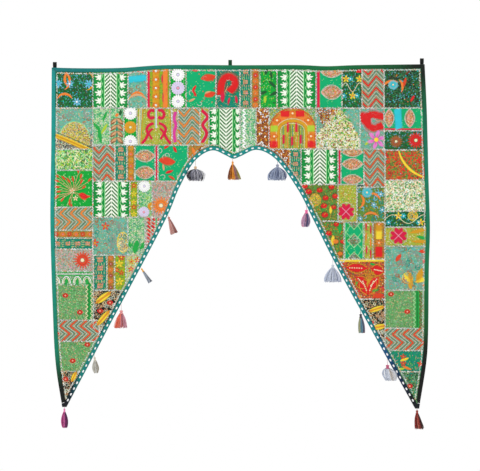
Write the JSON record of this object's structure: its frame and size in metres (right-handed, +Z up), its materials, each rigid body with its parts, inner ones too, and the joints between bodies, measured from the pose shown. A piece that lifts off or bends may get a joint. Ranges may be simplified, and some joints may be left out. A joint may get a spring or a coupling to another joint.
{
  "type": "toran door hanging",
  "caption": "Embroidered patchwork door hanging with an arch cut out between two pointed legs, bound edges, hanging loops and small tassels along the arch.",
  "frame": {"origin": "middle of the top edge, on the cloth's middle surface", "axes": "+X to the right seen from the front, +Z up, +Y towards the wall; the embroidered face looks towards -Y"},
  "size_m": [1.139, 0.0466, 1.1109],
  "materials": {
    "patchwork": "matte",
    "side_tape": "matte",
    "arch_tape": "matte",
    "loop_tape": "matte",
    "pink_yarn": "matte",
    "beige_yarn": "matte",
    "coral_yarn": "matte",
    "grey_yarn": "matte",
    "orange_yarn": "matte",
    "blue_yarn": "matte",
    "maroon_yarn": "matte"
  },
  "bodies": {
    "root": {"patchwork_cloth": "patchwork", "tape_left": "side_tape", "tape_top": "side_tape", "tape_right": "side_tape", "tape_arch": "arch_tape", "loop_left": "loop_tape", "loop_centre": "loop_tape", "loop_right": "loop_tape", "tassel_1": "pink_yarn", "tassel_2": "beige_yarn", "tassel_3": "coral_yarn", "tassel_4": "grey_yarn", "tassel_5": "coral_yarn", "tassel_6": "grey_yarn", "tassel_7": "orange_yarn", "tassel_8": "blue_yarn", "tassel_9": "pink_yarn", "tassel_10": "blue_yarn", "tassel_11": "blue_yarn", "tassel_12": "beige_yarn", "tassel_13": "maroon_yarn"}
  },
  "joints": []
}
